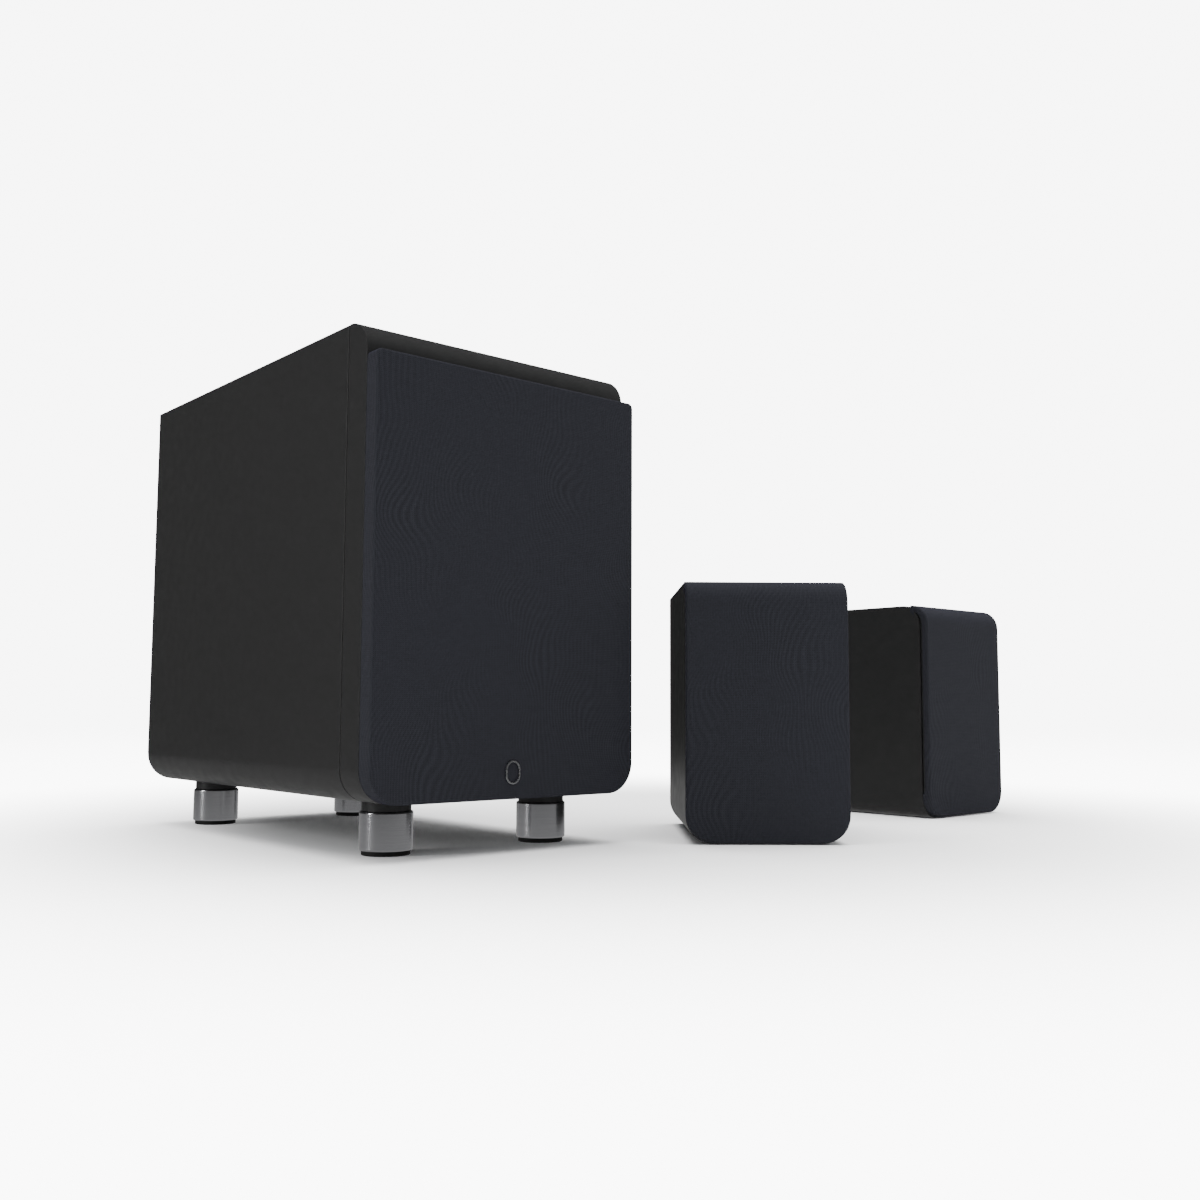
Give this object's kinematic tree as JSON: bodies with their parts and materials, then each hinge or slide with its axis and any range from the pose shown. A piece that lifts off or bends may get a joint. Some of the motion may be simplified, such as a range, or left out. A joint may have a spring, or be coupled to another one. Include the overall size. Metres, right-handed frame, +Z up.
{
  "type": "subwoofer and satellite speaker set",
  "caption": "Black speaker set: an active subwoofer on brushed steel feet with a cloth grille, and small satellite speakers with cloth grilles and rear terminals.",
  "frame": {"origin": "on the floor, at the middle of the set's bounding box", "axes": "+X to the right along the subwoofer front, +Y from its front to its back, +Z up"},
  "size_m": [0.661, 0.492, 0.346],
  "materials": {
    "cabinet": "satin black lacquer on MDF",
    "grille_frame": "moulded black plastic",
    "grille_cloth": "fine woven black grille cloth",
    "badge": "satin metal ring",
    "basket": "moulded black polymer",
    "motor": "zinc plated plates around a ferrite ring",
    "cone": "black coated paper",
    "surround": "matt butyl rubber",
    "spider": "resin dipped cloth",
    "voice_coil": "copper wire on an aluminium former",
    "leads": "insulated copper lead",
    "screws": "black zinc plated steel",
    "amp_plate": "black textured steel plate",
    "board": "glass fibre circuit board with parts",
    "transformer": "taped toroidal winding",
    "heat_sink": "black anodised extrusion",
    "knob": "black plastic",
    "switch": "light grey plastic",
    "inlet": "black moulded plastic",
    "jacks": "gold plated brass",
    "lamp": "clear blue lens",
    "foot_core": "black plastic",
    "foot_sleeve": "brushed stainless steel",
    "foot_pad": "black rubber",
    "bolts": "zinc plated steel",
    "dome": "coated textile dome",
    "rear_panel": "black moulded panel",
    "studs": "gold plated brass",
    "red_cap": "red plastic",
    "black_cap": "black plastic"
  },
  "bodies": {
    "subwoofer": {"sub_cabinet": "cabinet", "sub_baffle": "cabinet", "sub_woofer_basket": "basket", "sub_woofer_motor": "motor", "sub_woofer_leads": "leads", "sub_screws": "screws", "sub_amp_plate": "amp_plate", "sub_amp_board": "board", "sub_transformer": "transformer", "sub_heat_sink": "heat_sink", "sub_mains_inlet": "inlet", "sub_input_jacks": "jacks", "sub_status_lamp": "lamp", "sub_foot_cores": "foot_core", "sub_foot_sleeves": "foot_sleeve", "sub_foot_pads": "foot_pad", "sub_foot_bolts": "bolts"},
    "sub_grille": {"sub_grille_frame": "grille_frame", "sub_grille_cloth": "grille_cloth", "sub_grille_badge": "badge"},
    "sub_cone": {"sub_woofer_cone": "cone", "sub_woofer_voice_coil": "voice_coil", "sub_woofer_surround": "surround", "sub_woofer_spider": "spider"},
    "level_knob": {"sub_level_knob": "knob"},
    "crossover_knob": {"sub_crossover_knob": "knob"},
    "phase_switch": {"sub_phase_switch": "switch"},
    "power_rocker": {"sub_power_rocker": "knob"},
    "left_satellite": {"left_cabinet": "cabinet", "left_woofer_basket": "basket", "left_woofer_motor": "motor", "left_tweeter": "basket", "left_rear_panel": "rear_panel", "left_crossover_board": "board", "left_leads": "leads", "left_terminal_studs": "studs", "left_screws": "screws"},
    "left_grille": {"left_grille_frame": "grille_frame", "left_grille_cloth": "grille_cloth"},
    "left_cone": {"left_woofer_cone": "cone", "left_woofer_surround": "surround"},
    "left_dome": {"left_tweeter_dome": "dome"},
    "left_red_post": {"left_red_cap": "red_cap"},
    "left_black_post": {"left_black_cap": "black_cap"},
    "right_satellite": {"right_cabinet": "cabinet", "right_woofer_basket": "basket", "right_woofer_motor": "motor", "right_tweeter": "basket", "right_rear_panel": "rear_panel", "right_crossover_board": "board", "right_leads": "leads", "right_terminal_studs": "studs", "right_screws": "screws"},
    "right_grille": {"right_grille_frame": "grille_frame", "right_grille_cloth": "grille_cloth"},
    "right_cone": {"right_woofer_cone": "cone", "right_woofer_surround": "surround"},
    "right_dome": {"right_tweeter_dome": "dome"},
    "right_red_post": {"right_red_cap": "red_cap"},
    "right_black_post": {"right_black_cap": "black_cap"}
  },
  "joints": [
    {"name": "sub_grille_pull", "type": "slide", "parent": "subwoofer", "child": "sub_grille", "axis": [0, -1, 0], "range_m": [0, 0.02]},
    {"name": "sub_cone_travel", "type": "slide", "parent": "subwoofer", "child": "sub_cone", "axis": [0, 1, 0], "range_m": [-0.006, 0.006], "stiffness_N_per_m": 2500, "deforming": ["sub_woofer_surround", "sub_woofer_spider"]},
    {"name": "level_knob_turn", "type": "hinge", "parent": "subwoofer", "child": "level_knob", "pos_m": [-0.1735, 0.23203, 0.281], "axis": [0, 1, 0], "range_deg": [-150, 150]},
    {"name": "crossover_knob_turn", "type": "hinge", "parent": "subwoofer", "child": "crossover_knob", "pos_m": [-0.2075, 0.23203, 0.281], "axis": [0, 1, 0], "range_deg": [-150, 150]},
    {"name": "phase_switch_slide", "type": "slide", "parent": "subwoofer", "child": "phase_switch", "axis": [1, 0, 0], "range_m": [0, 0.005]},
    {"name": "power_rocker_tip", "type": "hinge", "parent": "subwoofer", "child": "power_rocker", "pos_m": [-0.2075, 0.23003, 0.104], "axis": [1, 0, 0], "range_deg": [0, 14]},
    {"name": "left_satellite_lift", "type": "slide", "parent": "subwoofer", "child": "left_satellite", "axis": [0, 0, 1], "range_m": [0, 0.2]},
    {"name": "left_grille_pull", "type": "slide", "parent": "left_satellite", "child": "left_grille", "axis": [-0.6428, -0.766, 0], "range_m": [0, 0.015]},
    {"name": "left_cone_travel", "type": "slide", "parent": "left_satellite", "child": "left_cone", "axis": [0.6428, 0.766, 0], "range_m": [-0.003, 0.003], "stiffness_N_per_m": 1000, "deforming": ["left_woofer_surround"]},
    {"name": "left_dome_travel", "type": "slide", "parent": "left_satellite", "child": "left_dome", "axis": [0.6428, 0.766, 0], "range_m": [-0.0004, 0.0004], "stiffness_N_per_m": 600},
    {"name": "left_red_post_turn", "type": "hinge", "parent": "left_satellite", "child": "left_red_post", "pos_m": [0.05204, -0.10313, 0.055], "axis": [0.6428, 0.766, 0], "range_deg": [0, 720]},
    {"name": "left_black_post_turn", "type": "hinge", "parent": "left_satellite", "child": "left_black_post", "pos_m": [0.03748, -0.09092, 0.055], "axis": [0.6428, 0.766, 0], "range_deg": [0, 720]},
    {"name": "right_satellite_lift", "type": "slide", "parent": "subwoofer", "child": "right_satellite", "axis": [0, 0, 1], "range_m": [0, 0.2]},
    {"name": "right_grille_pull", "type": "slide", "parent": "right_satellite", "child": "right_grille", "axis": [0, -1, 0], "range_m": [0, 0.015]},
    {"name": "right_cone_travel", "type": "slide", "parent": "right_satellite", "child": "right_cone", "axis": [0, 1, 0], "range_m": [-0.003, 0.003], "stiffness_N_per_m": 1000, "deforming": ["right_woofer_surround"]},
    {"name": "right_dome_travel", "type": "slide", "parent": "right_satellite", "child": "right_dome", "axis": [0, 1, 0], "range_m": [-0.0004, 0.0004], "stiffness_N_per_m": 600},
    {"name": "right_red_post_turn", "type": "hinge", "parent": "right_satellite", "child": "right_red_post", "pos_m": [0.281, -0.02197, 0.055], "axis": [0, 1, 0], "range_deg": [0, 720]},
    {"name": "right_black_post_turn", "type": "hinge", "parent": "right_satellite", "child": "right_black_post", "pos_m": [0.262, -0.02197, 0.055], "axis": [0, 1, 0], "range_deg": [0, 720]}
  ]
}
